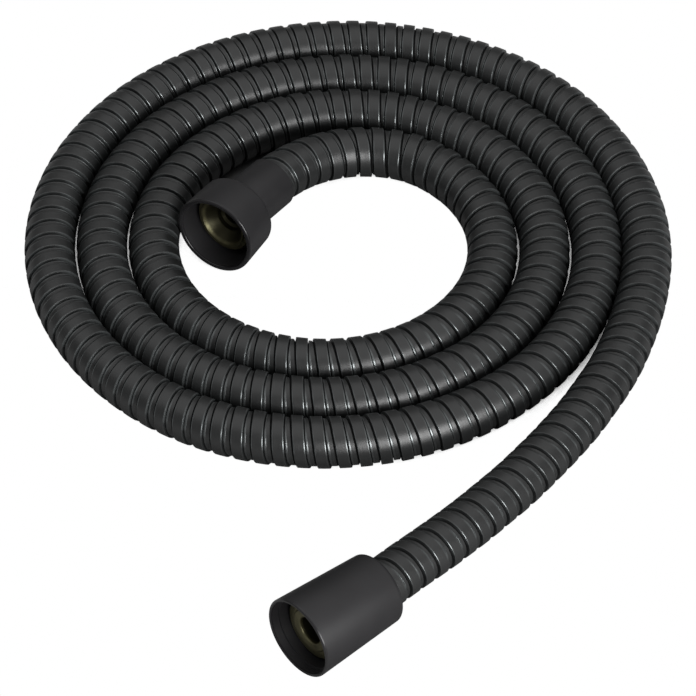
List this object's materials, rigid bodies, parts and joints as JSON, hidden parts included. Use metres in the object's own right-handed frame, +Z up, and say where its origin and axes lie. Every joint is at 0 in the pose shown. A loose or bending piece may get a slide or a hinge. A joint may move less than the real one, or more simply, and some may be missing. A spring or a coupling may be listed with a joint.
{
  "type": "shower hose",
  "caption": "Black spiral-wound metal shower hose laid in a flat open spiral, with a tapered swivel nut on its inner end and a straight swivel nut on its outer end.",
  "frame": {"origin": "centre of the bounding box at floor level", "axes": "+Z up from the floor, -Y the way the straight nut's mouth faces"},
  "size_m": [0.2, 0.1966, 0.0248],
  "materials": {
    "sheath": "satin black",
    "nut": "satin black",
    "brass": "turned, dull",
    "rubber": "smooth"
  },
  "bodies": {
    "hose": {"hose_sheath": "sheath", "inner_hose": "rubber", "cone_nipple": "brass", "cone_ferrule": "nut", "straight_nipple": "brass", "straight_ferrule": "nut"},
    "cone_nut": {"cone_nut": "nut"},
    "straight_nut": {"straight_nut": "nut"}
  },
  "joints": [
    {"name": "cone_nut_spin", "type": "hinge", "parent": "hose", "child": "cone_nut", "pos_m": [-0.03453, -0.0198, 0.01302], "axis": [0.2917, -0.954, 0.0698], "continuous": true},
    {"name": "straight_nut_spin", "type": "hinge", "parent": "hose", "child": "straight_nut", "pos_m": [0.08865, -0.09777, 0.01131], "axis": [0, -0.9989, 0.0464], "continuous": true}
  ]
}
